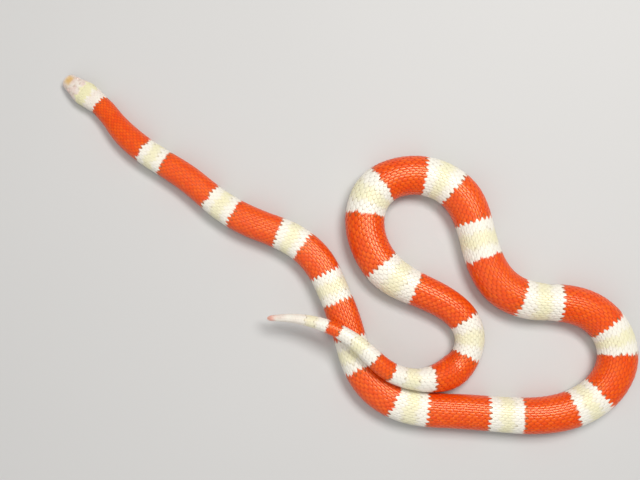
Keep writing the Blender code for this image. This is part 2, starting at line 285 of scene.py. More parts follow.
def across_and_up(s, turn, jaw=None):
    """A point of the outline at a distance from the snout. The turn is 0 on the crown, up to pi on the belly,
    more than 0 on the snake's right. The jaw is 0 for the upper head alone, 1 for the lower jaw alone."""
    width = WIDTH(s)
    width = np.where(s > BENDS_FROM, width * (1 + BEND_SWELL * np.abs(BACKBONE.bend(s)) * width), width)
    middle = BELOW(s) + WIDEST_SHARE * (HEIGHT(s) - BELOW(s))
    rise, level = np.cos(turn), np.sin(turn)
    power = np.where(rise > 0, 2 / SQUARENESS(s), 2 / BELLY_ROUNDNESS)
    rise = np.sign(rise) * np.abs(rise) ** power
    level = np.sign(level) * np.abs(level) ** power
    reach = np.where(rise > 0, HEIGHT(s) - middle, middle - BELOW(s))
    tail = rounding(BACKBONE.length - s, TAIL_TIP_ROUNDING)
    full = rounding(s, SNOUT_ROUNDING) * tail
    up = middle + reach * full * rise
    # Under the line of the mouth the outline draws in to the lower jaw.
    if jaw is None:
        jaw = jaw_share(s, up, LIP_LINE)
    jaw_full = np.maximum(rounding(s - JAW_FRONT, SNOUT_ROUNDING) * tail, 0.1 * full)
    full = mix(full, jaw_full, jaw)
    up = middle + reach * full * rise
    up = np.where(jaw > 0.5, np.minimum(up, MOUTH(s) - LIP_LINE), up)
    across = (width / 2 - JAW_INSET * jaw) * full * level
    lip = np.exp(-((up - MOUTH(s) - LIP_REACH / 2) / LIP_REACH) ** 2) * (1 - jaw)
    across += np.sign(across) * LIP_SWELL * full * lip * rounding(JAW_BACK - s, LIP_REACH * 4)
    return across, np.maximum(up, 0.0)


def shell(s, turn, jaw=None):
    """Points on the outside of the solids."""
    across, up = across_and_up(s, turn, jaw)
    origin, _, right, top = BACKBONE.frame(s)
    return origin + across[..., None] * right + up[..., None] * top


def outward(s, turn):
    """Directions straight out of the outside."""
    step = 0.05
    low, high = np.maximum(s - step, 0.0), np.minimum(s + step, BACKBONE.length)
    along = shell(high, turn) - shell(low, turn)
    around = shell(s, turn + 0.01) - shell(s, turn - 0.01)
    normal = np.cross(along, around)
    size = np.linalg.norm(normal, axis=-1, keepdims=True)
    _, ahead, _, _ = BACKBONE.frame(s)
    ends = np.where((s < 1.0)[..., None], -ahead, ahead)
    return np.where(size > 1e-7, normal / np.maximum(size, 1e-7), ends)


def lifted(s, turn, height):
    """Points at a height over the outside of the solids, in metres."""
    points = shell(s, turn) + outward(s, turn) * np.asarray(height)[..., None]
    points[..., 2] = np.maximum(points[..., 2], 0.0)
    return points * MM


class Girdle:
    """Shares of the way round the body from the crown, at each distance, as turns."""

    STEPS = 181

    def __init__(self):
        self.places = np.concatenate([np.arange(0.3, 30, 0.5), np.arange(30, BACKBONE.length - 0.3, 3.0)])
        turns = np.linspace(0, math.pi, self.STEPS)
        s, turn = np.meshgrid(self.places, turns, indexing="ij")
        across, up = across_and_up(s, turn)
        steps = np.hypot(np.diff(across, axis=1), np.diff(up, axis=1))
        arcs = np.concatenate([np.zeros((len(s), 1)), np.cumsum(steps, axis=1)], axis=1)
        self.round = 2 * arcs[:, -1]
        shares = np.linspace(0, 0.5, self.STEPS)
        self.turns = np.array([np.interp(shares, arc / arc[-1] / 2, turns) for arc in arcs])

    def girth(self, s):
        """The way round the body in millimetres."""
        return np.interp(s, self.places, self.round)

    def turn(self, s, share):
        """The turn at a share of the way round: 0 on the crown, 0.5 on the belly, below 0 on the left."""
        row = np.interp(s, self.places, np.arange(len(self.places)))
        low = np.clip(row.astype(int), 0, len(self.places) - 2)
        after = row - low
        column = np.clip(np.abs(share) * 2, 0, 1) * (self.STEPS - 1)
        left = np.clip(column.astype(int), 0, self.STEPS - 2)
        right = column - left
        first, second = (mix(self.turns[at, left], self.turns[at, left + 1], right) for at in (low, low + 1))
        over = np.maximum(np.abs(share) - 0.5, 0.0) * math.tau
        return np.sign(share) * (mix(first, second, after) + over)


GIRDLE = Girdle()


# Markings: for each place on the snake, how red, how yellow and how pink it is.

def markings(s, share, chance):
    """Named shares of each colour at a place. The chance, from 0 to 1, makes the edges of bands uneven."""
    s = s + (chance - 0.5) * 0.5
    red, yellow, border, speck = np.zeros((4, *s.shape))
    for start, end in RED_BANDS:
        ragged = 0.25 * np.sin(share * 131 + start) + 0.3 * np.sin(share * 37 + end)
        inside = np.minimum(s + ragged - start, end - s + ragged)
        red = np.maximum(red, ease(inside, -0.35, 0.35))
        border = np.maximum(border, np.exp(-(inside / 1.3) ** 2))
    edges = [end for _, end in RED_BANDS]
    starts = [start for start, _ in RED_BANDS[1:]] + [LAST_RING_END]
    for low, high in zip(edges, starts):
        middle = (low + high) / 2
        reach = (high - low) * (YELLOW_REACH if high < VENT else TAIL_YELLOW_REACH)
        wander = s - middle + 0.5 * np.sin(share * 29 + low) + 0.4 * np.sin(share * 53 + high)
        yellow = np.maximum(yellow, np.exp(-(wander / reach) ** 4))
        line = np.exp(-((np.abs(wander) - 0.95 * reach) / 0.6) ** 2)
        speck = np.maximum(speck, line * ((chance > 0.5) * 0.65 if high < VENT else (chance > 0.15)))
    across = share * GIRDLE.girth(s)
    wave = 0.9 * np.sin(across * 1.1 + 0.6) + 0.5 * np.sin(across * 2.3)
    nape = ease(s + wave, 12.8, 14.6) * ease(s - wave, 21.5, 19.5)
    snout = np.exp(-((s - 3.9) / 2.6) ** 4 - ((across - 0.7) / 3.4) ** 4)
    yellow = np.where(s < FIRST_BAND, np.maximum(1.4 * nape, snout), yellow)
    pink = ease(s + wave, 14.8, 12.8) * (1 - 0.9 * snout)
    pink = pink + 0.4 * ease(s, 20.0, 22.0) * ease(s, 30.0, 26.0)
    pink += 0.25 * ease(s, 862.0, 872.0) + 0.6 * ease(s, BACKBONE.length - 12, BACKBONE.length - 4)
    red = np.maximum(red, 0.45 * ease(s, BACKBONE.length - 6, BACKBONE.length - 2))
    speck = np.maximum(speck, 0.7 * np.exp(-((s - 6.2) / 1.5) ** 2 - ((across + 4.6) / 1.1) ** 2))
    pink = np.clip(pink, 0, 1)
    return dict(red=red, yellow=yellow, pink=pink, snout=snout, border=border, speck=speck)


# Meshes

def deselect():
    bpy.ops.object.select_all(action="DESELECT")


def edit(thing, kind="FACE"):
    """Opens a piece for editing with nothing picked."""
    deselect()
    bpy.context.view_layer.objects.active = thing
    thing.select_set(True)
    bpy.ops.object.mode_set(mode="EDIT")
    bpy.ops.mesh.select_mode(type=kind)
    bpy.ops.mesh.select_all(action="DESELECT")


def close_edit():
    bpy.ops.object.mode_set(mode="OBJECT")


def pick(thing, wanted):
    """Picks the faces whose middle and direction are wanted, while the piece is open."""
    bpy.ops.object.mode_set(mode="OBJECT")
    for face in thing.data.polygons:
        face.select = bool(wanted(face.center, face.normal))
    bpy.ops.object.mode_set(mode="EDIT")


def points_of(thing):
    flat = np.empty(len(thing.data.vertices) * 3)
    thing.data.vertices.foreach_get("co", flat)
    return flat.reshape(-1, 3)


def placed(name, data):
    """A new piece, light or camera in the scene."""
    made = bpy.data.objects.new(name, data)
    bpy.context.scene.collection.objects.link(made)
    return made


def aim(thing, place, way, axis):
    """Moves a thing to a place and turns its axis the given way."""
    thing.location = place
    thing.rotation_mode = "QUATERNION"
    thing.rotation_quaternion = way.to_track_quat(axis, "Y")


def add_values(mesh, **values):
    """Numbers for the mesh's corners that its finish reads."""
    for name, numbers in values.items():
        layer = mesh.attributes.new(name, "FLOAT", "POINT")
        layer.data.foreach_set("value", np.asarray(numbers, np.float32).ravel())


def sheet_mesh(name, rows, columns):
    """A flat grid of rows and columns to be shaped, with its rows and columns as whole numbers."""
    deselect()
    bpy.ops.mesh.primitive_grid_add(x_subdivisions=rows - 1, y_subdivisions=columns - 1, size=2)
    made = bpy.context.active_object
    made.name = made.data.name = name
    x, y, _ = points_of(made).T
    row = np.rint((x + 1) / 2 * (rows - 1)).astype(int)
    column = np.rint((y + 1) / 2 * (columns - 1)).astype(int)
    return made, row, column


def merge(thing):
    """Closes the seam and the poles of a piece."""
    edit(thing, "VERT")
    bpy.ops.mesh.select_all(action="SELECT")
    bpy.ops.mesh.remove_doubles(threshold=2e-7)
    bpy.ops.mesh.normals_make_consistent(inside=False)
    close_edit()


SKIN_AROUND = 160


def skin_rings():
    """Where the skin's rings are, closest on the head and at the tail tip."""
    head = np.concatenate([np.linspace(0, 1, 15) ** 2 * 1.5, np.arange(1.7, 30, 0.24)])
    body = np.arange(30.5, BACKBONE.length - 4, 3.0)
    tip = BACKBONE.length - 4 * (1 - np.linspace(0, 1, 12)) ** 1.6
    return np.concatenate([head, body, tip])


def snake_skin():
    """One closed skin from snout to tail tip, under the scales, with mouth, nostrils and sockets."""
    places = skin_rings()
    made, row, column = sheet_mesh("snake_skin", len(places), SKIN_AROUND + 1)
    s = places[row]
    share = np.where(column == SKIN_AROUND, -0.5, column / SKIN_AROUND - 0.5)
    turn = GIRDLE.turn(np.clip(s, 0.3, None), share)
    depth = mix(PLATE_DEPTH, COAT_DEPTH, ease(s, 14.0, 20.0)) * ease(BACKBONE.length - s, 0.0, 3.0)
    # The skin runs from lip to lip with no step, and is set in straight towards the head's middle there.
    # In front of the lower jaw it is the roof of the mouth.
    upper, roof = across_and_up(s, turn, 0.0)
    across, up = across_and_up(s, turn, jaw_share(s, roof, 0.5))
    grown = ease(s, JAW_FRONT - 0.1, JAW_FRONT + 0.5)
    across, up = mix(upper, across, grown), mix(np.maximum(roof, MOUTH(s) - 0.1), up, grown)
    origin, ahead, right, top = BACKBONE.frame(s)
    from_middle = up - mix(BELOW(s), HEIGHT(s), WIDEST_SHARE)
    spoke = unit(across[:, None] * right + from_middle[:, None] * top)
    over_mouth = up - MOUTH(s)
    steady = np.exp(-(over_mouth / 1.2) ** 2) * ease(s, 19.5, 17.5)
    steady = np.maximum(steady, ease(s, 2.4, 1.4) * ease(over_mouth, 0.5, 0.0))
    way_out = unit(mix(outward(s, turn), spoke, steady[:, None]))
    beside = np.abs(across)
    eye = np.hypot(s - EYE_PLACE[0], up - EYE_PLACE[2])
    socket = ease(eye, EYE_RADIUS + 0.25, EYE_RADIUS - 0.35) * (beside > 2.5)
    nostril = np.linalg.norm(np.stack([s, beside, up], -1) - NOSTRIL_PLACE, axis=-1)
    pit = ease(nostril, 0.65, 0.25)
    slit = np.exp(-((over_mouth + 0.02) / 0.25) ** 2) * (np.abs(turn) < 2.4)
    slit *= ease(s, 17.6, 16.6) * ease(s, 1.4, 2.4)
    depth += 0.9 * socket + 0.8 * pit + 0.3 * slit
    # The very front of the mouth is drawn back behind the lips.
    back = 0.4 * ease(s, 2.0, 0.8) * ease(over_mouth, 0.6, 0.1)
    points = origin + across[:, None] * right + up[:, None] * top
    points += ahead * back[:, None] - way_out * depth[:, None]
    points[:, 2] = np.maximum(points[:, 2], 0.0)
    made.data.vertices.foreach_set("co", (points * MM).astype(np.float32).ravel())
    made.data.update()
    even = np.full(len(s), 0.5)
    # Painted shade, in a dark flesh colour, in the eye sockets, the nostrils and the slit of the mouth.
    dark = np.clip(0.5 * socket + pit + 0.9 * slit, 0, 1)
    # A rim of 0.5 paints the skin under the scales with half the shade of a scale's edge.
    add_values(made.data, rim=even, dark=dark, chance=even, tip=0 * s, **markings(s, share, even))
    made.data.uv_layers[0].name = "OFBake"
    merge(made)
    made.data.shade_smooth()
    return made


def scale_pattern():
    """One scale lying flat: a low bevelled leaf, 1 long, 1 wide and 1 thick, its free end at +X."""
    deselect()
    bpy.ops.mesh.primitive_cone_add(vertices=14, radius1=0.5, radius2=0.43, depth=0.5, end_fill_type="NGON")
    leaf = bpy.context.active_object
    leaf.name = "scale_pattern"
    edit(leaf)
    pick(leaf, lambda middle, normal: normal.z > 0.9)
    bpy.ops.mesh.inset(thickness=0.17)
    bpy.ops.transform.translate(value=(0, 0, 0.34))
    bpy.ops.mesh.inset(thickness=0.14)
    bpy.ops.transform.translate(value=(0, 0, 0.12))
    bpy.ops.mesh.poke(offset=0.04)
    close_edit()
    points = points_of(leaf)
    points[:, 2] -= points[:, 2].min()
    points[:, 2] /= points[:, 2].max()
    # Rounded leaf: widest before the middle, drawn in to the free end.
    x, y = points[:, 0].copy(), points[:, 1].copy()
    points[:, 0] = x * (1 + 0.10 * np.cos(2 * np.arctan2(y, x)))
    points[:, 1] = y * (1 - 0.35 * np.clip(x, 0, 1) - 0.1 * np.clip(-x, 0, 1))
    points[:, 1] /= np.abs(points[:, 1]).max() * 2
    faces = sorted((tuple(face.vertices) for face in leaf.data.polygons), key=len, reverse=True)
    bpy.data.objects.remove(leaf)
    return points, faces


def lay_scales(name, pattern, laid, root, dome=0.0):
    """Copies of the scale in one mesh, bent to the body. The rows of laid are place, share of the way round,
    length in millimetres and width as a share; root is the height of the scales' roots over the outside."""
    points, faces = pattern
    x, y, z = points.T
    s, share, long, wide = laid.T
    count, size = len(s), len(points)
    place = np.clip(s[:, None] + x[None] * long[:, None], 0.0, BACKBONE.length - 0.02)
    around = share[:, None] + y[None] * wide[:, None]
    turn = GIRDLE.turn(place, around)
    tilt = np.clip(x + 0.5, 0, 1)[None]
    shrink = (long / LONGEST)[:, None]
    edge = (2 * np.abs(y)[None]) ** 2
    height = shrink * (root * (1 - tilt) - (1 - z[None]) * THICKNESS - dome * edge)
    verts = lifted(place, turn, height).reshape(-1, 3)
    corners = np.concatenate([np.array(face) for face in faces])
    lengths = np.array([len(face) for face in faces])
    corners = (np.arange(count)[:, None] * size + corners[None]).ravel()
    lengths = np.tile(lengths, count)
    mesh = bpy.data.meshes.new(name)
    mesh.vertices.add(count * size)
    mesh.vertices.foreach_set("co", verts.astype(np.float32).ravel())
    mesh.loops.add(len(corners))
    mesh.loops.foreach_set("vertex_index", corners.astype(np.int32))
    mesh.polygons.add(len(lengths))
    mesh.polygons.foreach_set("loop_start", (np.cumsum(lengths) - lengths).astype(np.int32))
    mesh.update(calc_edges=True)
    chance = np.random.default_rng(len(s)).random(count)
    marked = mix((s + 0.2 * long)[:, None], place, 0.4)
    colours = markings(marked, around, chance[:, None] + 0 * marked)
    colours["speck"] = colours["speck"] * ease(x, 0.1, 0.4)
    spread = np.hypot(x, y)
    # The rim, from 0 in a scale's middle to 1 at its edge, is where the finish paints shade, and on red a
    # highlight in the middle.
    add_values(mesh, rim=np.tile((spread / spread.max()) ** 3, count), tip=np.tile(ease(x, 0.0, 0.5), count),
               chance=np.repeat(chance, size), dark=np.zeros(count * size), **colours)
    along = (s - s.min()) / (np.ptp(s) + 1e-6)
    patch = np.stack([along, share + 0.5], -1) * 0.99 + 0.005
    patch = patch[:, None] + np.stack([x, y], -1)[None] * PATCH
    layer = mesh.uv_layers.new(name="OFBake")
    layer.data.foreach_set("uv", patch.reshape(-1, 2)[corners].astype(np.float32).ravel())
    mesh.shade_smooth()
    return placed(name, mesh)


# Head plates

class HeadForm:
    """The outside of the upper head, or of the lower jaw, as a fine net to lay plates on."""

    REACH = 24.0
    SHARES = 241
    HALF_TURNS = np.linspace(0, math.pi, 1500)

    def __init__(self, jaw):
        self.jaw = jaw
        front = np.linspace(0, 1, 36) ** 2 * 2.4
        places = np.concatenate([front, np.arange(2.55, self.REACH, 0.15)])
        places = places[places >= jaw * (JAW_FRONT + 0.01)]
        s, share = np.meshgrid(places, np.linspace(-0.5, 0.5, self.SHARES), indexing="ij")
        points = shell(s, GIRDLE.turn(np.maximum(s, 0.3), share), jaw).reshape(-1, 3)
        corner = np.arange(s.size).reshape(s.shape)
        first, second = corner[:-1, :-1].ravel(), corner[1:, :-1].ravel()
        third, fourth = corner[1:, 1:].ravel(), corner[:-1, 1:].ravel()
        halves = (first, second, third), (first, third, fourth)
        faces = np.concatenate([np.stack(half, -1) for half in halves])
        sides = points[faces[:, 1:]] - points[faces[:, :1]]
        faces = faces[np.linalg.norm(np.cross(sides[:, 0], sides[:, 1]), axis=1) > 1e-9]
        self.net = BVHTree.FromPolygons(points.tolist(), faces.tolist())
        self.s = s.ravel()[faces].mean(axis=1)
        self.share = share.ravel()[faces].mean(axis=1)

    def half(self, s):
        """The outline of the right side at a distance from the snout."""
        return across_and_up(np.full_like(self.HALF_TURNS, s), self.HALF_TURNS, self.jaw)

    def above(self, s, y):
        """A point of the right side by how far across it is, seen from above."""
        across, _ = self.half(s)
        widest = across.argmax()
        return s, float(np.interp(y, across[:widest + 1], self.HALF_TURNS[:widest + 1]))

    def beside(self, s, z):
        """A point of the right side by its height, seen from the side."""
        _, up = self.half(s)
        return s, float(np.interp(-z, -np.minimum.accumulate(up), self.HALF_TURNS))

    def under(self, s, y):
        """A point of the right side by how far across it is, seen from below."""
        across, _ = self.half(s)
        widest = across.argmax()
        return s, float(np.interp(-y, -across[widest:], self.HALF_TURNS[widest:]))

    def orbit(self, degrees):
        """A point of the edge round the eye, from the rear over the top, where the brow hangs low."""
        angle = math.radians(degrees)
        rise = min(math.sin(angle), BROW * math.sin(angle))
        return self.beside(EYE_PLACE[0] + ORBIT * math.cos(angle), EYE_PLACE[2] + ORBIT * rise)

    def drop(self, points):
        """The nearest places on the head, the directions out of it there, and where they are on the snake."""
        found = [self.net.find_nearest(point) for point in points.tolist()]
        places, normals, faces, _ = (np.array(column) for column in zip(*found))
        return places, normals, self.s[faces], self.share[faces]

    def outline(self, corners, side):
        """Evenly spaced points round a plate with its corners a little rounded."""
        corners = np.array([shell(np.array(s), np.array(turn * side), self.jaw) for s, turn in corners])
        closed = np.vstack([corners, corners[:1]])
        way = np.concatenate([[0], np.cumsum(np.linalg.norm(np.diff(closed, axis=0), axis=1))])
        even = np.linspace(0, way[-1], PLATE_SIDES, endpoint=False)
        line = np.stack([np.interp(even, way, closed[:, axis]) for axis in range(3)], -1)
        for _ in range(3):
            line = (np.roll(line, 1, axis=0) + 2 * line + np.roll(line, -1, axis=0)) / 4
        return line


def upper_plates(form):
    """The paired plates over the mouth, each as the corners round it on the right side."""
    above, beside, orbit = form.above, form.beside, form.orbit
    lips = [beside(s, float(MOUTH(s)) + UPPER_LIP) for s in LIP_CUTS]
    tops = [beside(*place) for place in ((1.1, 3.45), (2.3, 3.45), (3.8, 3.7))]
    tops += [orbit(222), orbit(283), orbit(322)]
    behind = [beside(*place) for place in ((10.1, 5.2), (12.8, 5.75), (16.3, 5.6))]
    nose, snout, bridge, cheek = above(1.05, 1.55), above(2.0, 2.9), above(2.95, 2.3), above(3.1, 3.35)
    low_cheek, over_eye, under_eye = beside(3.15, 3.6), above(4.4, 3.6), beside(4.5, 4.1)
    brow, brow_in = above(5.5, 3.7), above(5.3, 1.75)
    rear_in, rear_out = above(9.1, 1.25), above(9.5, 4.3)
    nostril_up, nostril_low = beside(2.1, 4.62), beside(2.1, 3.6)
    crown = [above(s, 0.0) for s in (1.15, 2.8, 5.2, 10.2, 14.5)]
    temple = [beside(10.0, 6.4), beside(12.8, 6.9), above(12.7, 4.5), beside(15.4, 6.6), beside(15.2, 7.6)]
    edge = [above(9.9, 4.7), above(11.4, 5.0), above(14.1, 3.9)]
    return {
        "internasal": [crown[0], nose, snout, bridge, crown[1]],
        "prefrontal": [crown[1], bridge, cheek, brow, brow_in, crown[2]],
        "supraocular": [brow_in, brow, orbit(140), orbit(115), orbit(90), orbit(65), orbit(42), rear_out,
                        rear_in],
        "parietal": [crown[3], rear_in, rear_out, edge[0], edge[1], edge[2], crown[4]],
        "prenasal": [nose, snout, nostril_up, beside(1.72, 4.4), beside(1.66, 4.0), nostril_low, tops[1],
                     tops[0]],
        "postnasal": [snout, bridge, cheek, low_cheek, tops[1], nostril_low, beside(2.5, 3.9),
                      beside(2.52, 4.3), nostril_up],
        "loreal": [cheek, over_eye, under_eye, tops[2], low_cheek],
        "preocular": [over_eye, brow, orbit(140), orbit(165), orbit(195), tops[3], under_eye],
        "postocular_upper": [orbit(42), rear_out, edge[0], temple[0], orbit(5), orbit(24)],
        "postocular_lower": [orbit(5), temple[0], behind[0], orbit(320), orbit(342)],
        "temporal_upper": [edge[0], edge[1], temple[2], temple[1], temple[0]],
        "temporal_lower": [temple[0], temple[1], behind[1], behind[0]],
        "temporal_rear_upper": [temple[2], edge[2], above(15.2, 4.6), temple[4], temple[1]],
        "temporal_rear_lower": [temple[1], temple[4], temple[3], behind[2], behind[1]],
        "lip_1": [lips[0], tops[0], tops[1], lips[1]],
        "lip_2": [lips[1], tops[1], low_cheek, tops[2], lips[2]],
        "lip_3": [lips[2], tops[2], under_eye, tops[3], lips[3]],
        "lip_4": [lips[3], tops[3], orbit(240), orbit(262), tops[4], lips[4]],
        "lip_5": [lips[4], tops[4], orbit(303), tops[5], behind[0], lips[5]],
        "lip_6": [lips[5], behind[0], behind[1], lips[6]],
        "lip_7": [lips[6], behind[1], behind[2], beside(17.3, 4.9), lips[7]],
    }


def lower_plates(form):
    """The paired plates of the lower jaw on the right side."""
    beside, under = form.beside, form.under
    lips = [beside(s, float(MOUTH(s)) - LOWER_LIP) for s in JAW_CUTS]
    low = [under(*place) for place in (
        (1.75, 0.9), (2.6, 1.9), (4.0, 2.55), (5.8, 3.1), (7.8, 3.6), (9.9, 4.2), (12.2, 4.8), (14.6, 5.2),
        (17.0, 5.4),
    )]
    middle = [under(s, 0.0) for s in (2.3, 5.9, 10.4)]
    chin = under(6.1, 1.2)
    plates = {"jaw_lip_%d" % (n + 1): [lips[n], lips[n + 1], low[n + 1], low[n]] for n in range(8)}
    plates["chin_front"] = [middle[0], low[0], low[1], low[2], low[3], chin, middle[1]]
    plates["chin_rear"] = [middle[1], chin, low[3], under(8.4, 2.7), under(10.8, 1.5), middle[2]]
    return plates


def rostral_and_frontal(form):
    """The upper plates on the middle line, by the corners of their right half."""
    above, beside = form.above, form.beside
    rostral = [above(1.15, 0.0), above(1.05, 1.55), beside(1.1, 3.45)]
    rostral += [beside(1.15, float(MOUTH(1.15)) + UPPER_LIP), beside(0.5, 2.72), beside(0.2, 2.74)]
    rostral.append((0.12, math.pi))
    return [rostral, [above(5.2, 0.0), above(5.3, 1.75), above(9.1, 1.25), above(10.2, 0.0)]]


def mental(form):
    """The plate at the front of the chin, by the corners of its right half."""
    beside, under = form.beside, form.under
    front, back = (float(MOUTH(s)) - LOWER_LIP for s in (1.2, 1.45))
    return [[under(0.97, 0.0), beside(1.0, front), beside(1.45, back), under(1.75, 0.9), under(2.3, 0.0)]]


def plate_pattern():
    """A round plate with a rounded rim: for each of its points the ring it is on, its side and its height."""
    deselect()
    bpy.ops.mesh.primitive_cylinder_add(vertices=PLATE_SIDES, radius=1.0, depth=1.0, end_fill_type="NGON")
    disc = bpy.context.active_object
    edit(disc)
    pick(disc, lambda middle, normal: normal.z > 0.9)
    for inset, rise in PLATE_INSETS:
        bpy.ops.mesh.inset(thickness=inset)
        bpy.ops.transform.translate(value=(0, 0, rise))
    bpy.ops.mesh.poke()
    pick(disc, lambda middle, normal: normal.z < -0.9)
    bpy.ops.mesh.poke()
    close_edit()
    x, y, z = points_of(disc).T
    side = np.rint(np.arctan2(y, x) / math.tau * PLATE_SIDES).astype(int) % PLATE_SIDES
    faces = [tuple(face.vertices) for face in disc.data.polygons]
    faces.sort(key=lambda face: z[list(face)].max())
    bpy.data.objects.remove(disc)
    return np.hypot(x, y), side, (z - z.min()) / (z.max() - z.min()), faces


def lay_plates(name, outlines):
    """Plates in one mesh, one for each outline, standing up from the skin to the outside of the head."""
    ring, side, rise, faces = plate_pattern()
    inside = (ring > 0.75) & (ring < 0.9)
    verts, places, shares, patches = [], [], [], []
    for form, line in outlines:
        line, normals, _, _ = form.drop(line)
        tangent = unit(np.roll(line, -1, axis=0) - np.roll(line, 1, axis=0))
        middle = line.mean(axis=0)
        inward = np.cross(normals, tangent)
        inward *= np.sign(np.sum(inward * (middle - line), axis=1).sum())
        line = line + inward * PLATE_GAP
        reach = np.linalg.norm(middle - line, axis=1, keepdims=True)
        rim = np.clip((1 - ring) / 0.15, 0, 1)[:, None] * np.minimum(PLATE_RIM, reach / 4)[side]
        points = line[side] + (middle - line)[side] / reach[side] * rim
        points = mix(middle, points, np.clip(ring / 0.85, 0, 1)[:, None])
        points, normals, s, share = form.drop(points)
        # The rim goes down along the directions a little inside it, clear of the mouth's edge.
        steady = np.zeros((PLATE_SIDES, 3))
        steady[side[inside]] = normals[inside]
        steady = unit(steady + (np.roll(steady, 1, axis=0) + np.roll(steady, -1, axis=0)) / 2)
        normals[ring > 0.9] = steady[side[ring > 0.9]]
        height = (rise - 1) * (PLATE_DEPTH + 0.02)
        points += normals * height[:, None]
        points[:, 2] = np.maximum(points[:, 2], 0.0)
        verts.append(points * MM)
        places.append(s)
        shares.append(share)
        where = np.stack([s, share], -1)
        where = mix(where.mean(axis=0), where, 0.97 + 0.03 * (1 - rise[:, None]))
        patches.append((where / (form.REACH, 1.0) + (0.0, 0.5)) * 0.98 + 0.01)
    size = len(ring)
    mesh = bpy.data.meshes.new(name)
    starts = range(0, len(verts) * size, size)
    whole = [tuple(start + number for number in face) for start in starts for face in faces]
    mesh.from_pydata(np.concatenate(verts).tolist(), [], whole)
    places, shares = np.concatenate(places), np.concatenate(shares)
    chance = np.repeat(np.random.default_rng(5).random(len(verts)), size)
    colours = markings(places, shares, np.full_like(places, 0.5))
    # The rim marks each plate's edge, where the finish paints shade along the sutures.
    rim = np.tile(np.clip((ring - 0.8) / 0.2, 0, 1) * (rise < 0.95), len(verts))
    add_values(mesh, rim=rim, tip=0 * places, chance=chance, dark=0 * places, **colours)
    layer = mesh.uv_layers.new(name="OFBake")
    corners = np.concatenate([np.array(face) for face in whole])
    layer.data.foreach_set("uv", np.concatenate(patches)[corners].astype(np.float32).ravel())
    made = placed(name, mesh)
    edit(made)
    bpy.ops.mesh.select_all(action="SELECT")
    bpy.ops.mesh.normals_make_consistent(inside=False)
    close_edit()
    mesh.shade_smooth()
    return made


def head_plates():
    upper, lower = HeadForm(0.0), HeadForm(1.0)
    outlines = []
    for form, halves in ((upper, rostral_and_frontal(upper)), (lower, mental(lower))):
        for corners in halves:
            other = [(s, -turn) for s, turn in corners[::-1] if 1e-6 < turn < math.pi - 1e-6]
            outlines.append((form, form.outline(corners + other, 1)))
    for form, plates in ((upper, upper_plates(upper)), (lower, lower_plates(lower))):
        both = [(corners, side) for corners in plates.values() for side in (1, -1)]
        outlines += [(form, form.outline(corners, side)) for corners, side in both]
    return lay_plates("head_plates", outlines)


def steps_along():
    """The places along the body where one row's scales follow each other, by count."""
    fine = np.linspace(8.0, BACKBONE.length - 0.6, 4000)
    pace = np.cumsum(1 / STEP(fine)) * (fine[1] - fine[0])
    return lambda count: np.interp(count, pace, fine), pace[-1]


PLACE_AT, LAST_COUNT = steps_along()


def row_weights(s):
    """How wide each row of scales is beside the others at a distance, from the crown's row outwards."""
    weights = []
    for row in range(OUTER_ROW + 1):
        weight = np.full_like(s, 0.85 + 0.6 * (row / OUTER_ROW) ** 3)
        if row in ROW_FADES:
            fade, gone = ROW_FADES[row]
            weight *= ease(s, gone, fade)
        if row == OUTER_ROW:
            weight *= ease(s, *OUTER_ROW_STARTS)
        weights.append(weight)
    return np.array(weights)


def back_scales():
    """Every scale of the back and flanks: place, share of the way round, length and width."""
    parts = []
    for row in range(-OUTER_ROW, OUTER_ROW + 1):
        count = np.arange(0, LAST_COUNT, 1.0) + 0.5 * (row % 2)
        s = PLACE_AT(count)
        weights = row_weights(s)
        full_row = BACK_SHARE / 2 / (weights[0] / 2 + weights[1:].sum(axis=0))
        outer = abs(row)
        share = 0 * s
        if outer:
            share = full_row * (weights[:outer].sum(axis=0) - weights[0] / 2 + weights[outer] / 2)
        # The scales start where the plates of the head end.
        keep = (weights[outer] > NARROWEST) & (s > np.interp(share, *zip(*SCALES_FROM)))
        long = STEP(s) * SCALE_LAP[0] * np.minimum(1, 0.5 + weights[outer] / 2)
        wide = full_row * weights[outer] * SCALE_LAP[1]
        parts.append(np.stack([s, np.sign(row) * share, long, wide], -1)[keep])
    return np.concatenate(parts)


def belly_scales():
    """Scutes across the belly, and pairs of them under the tail."""
    count = np.arange(0, LAST_COUNT, 1.0)
    s = PLACE_AT(count)
    belly = 1 - BACK_SHARE
    rows = [(s[(s > SCUTES_FROM) & (s < VENT)], 0.5, belly, SCUTE_LAP)]
    for side in (-1, 1):
        pair = PLACE_AT(count + 0.25 * side)
        rows.append((pair[pair > VENT], side * (0.5 - belly / 4), belly / 2, PAIR_LAP))
    return [np.stack([s, 0 * s + share, STEP(s) * lap[0], 0 * s + wide * lap[1]], -1)
            for s, share, wide, lap in rows]


def throat_scales():
    """Small scales under the lower jaw, from the chin plates to the first scute, in staggered rows."""
    edge_at, edge = zip(*THROAT_EDGE)
    laid = []
    for row, s in enumerate(np.arange(THROAT_FROM, SCUTES_FROM + 0.6, THROAT_STEP)):
        across = (np.arange(-4, 5) + 0.5 * (row % 2)) * THROAT_WIDE
        kept = np.abs(across) < np.interp(s, edge_at, edge)
        kept &= (np.abs(across) > CHIN_REACH) | (s > CHIN_END)
        girth = float(GIRDLE.girth(s))
        for place in across[kept]:
            side = 1.0 if place >= 0 else -1.0
            laid.append((s, side * (0.5 - abs(place) / girth), THROAT_LONG, THROAT_LAP * THROAT_WIDE / girth))
    return np.array(laid)


# Finishes

